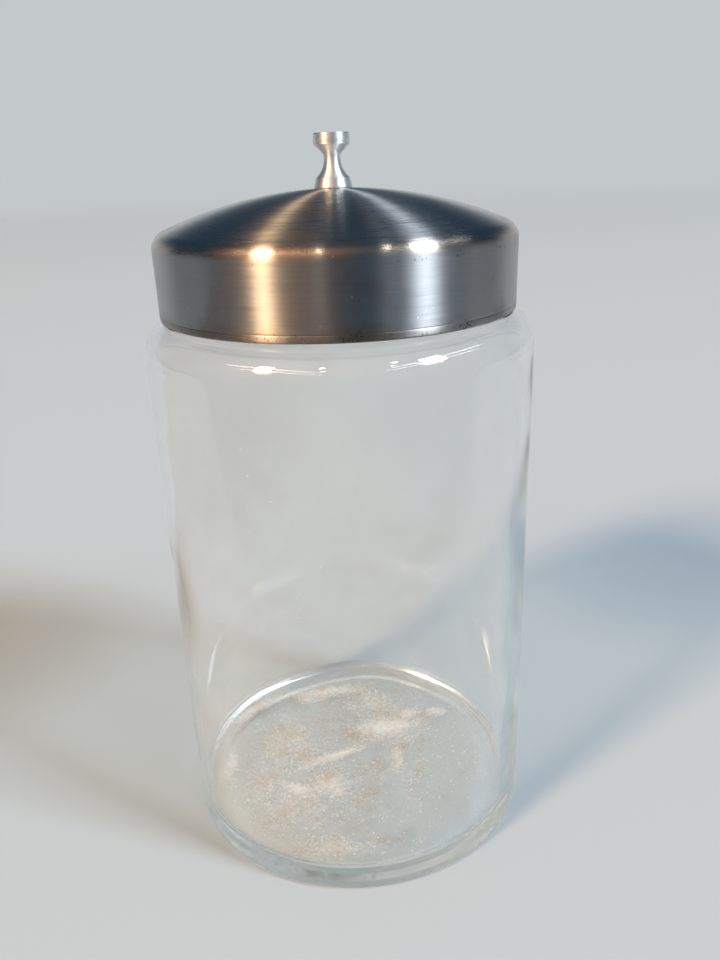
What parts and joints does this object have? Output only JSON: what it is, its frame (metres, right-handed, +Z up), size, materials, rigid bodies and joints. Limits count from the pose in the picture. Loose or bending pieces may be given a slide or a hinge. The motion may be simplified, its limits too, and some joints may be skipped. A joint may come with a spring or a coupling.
{
  "type": "lidded glass canister",
  "caption": "Clear straight-walled glass jar with a narrower plain neck and a domed, brushed metal lid that lifts off by a small turned knob; stores dry goods.",
  "frame": {"origin": "centre of the foot ring, on the surface the jar stands on", "axes": "+Z up along the jar's axis, the way the lid lifts; +X to the right as seen from the front, which faces -Y"},
  "size_m": [0.108, 0.108, 0.2035],
  "materials": {
    "clear_glass": "clear fire-polished soda-lime glass",
    "brushed_stainless": "drawn stainless sheet, brushed round the lid",
    "turned_aluminium": "bright turned aluminium",
    "screw_steel": "bright zinc-plated steel",
    "spring_steel": "dull plated spring steel"
  },
  "bodies": {
    "jar": {"jar": "clear_glass"},
    "lid": {"lid_shell": "brushed_stainless", "knob": "turned_aluminium", "knob_screw": "screw_steel", "lock_washer": "spring_steel"}
  },
  "joints": [
    {"name": "lid_lift", "type": "slide", "parent": "jar", "child": "lid", "axis": [0, 0, 1], "range_m": [0, 0.12]}
  ]
}
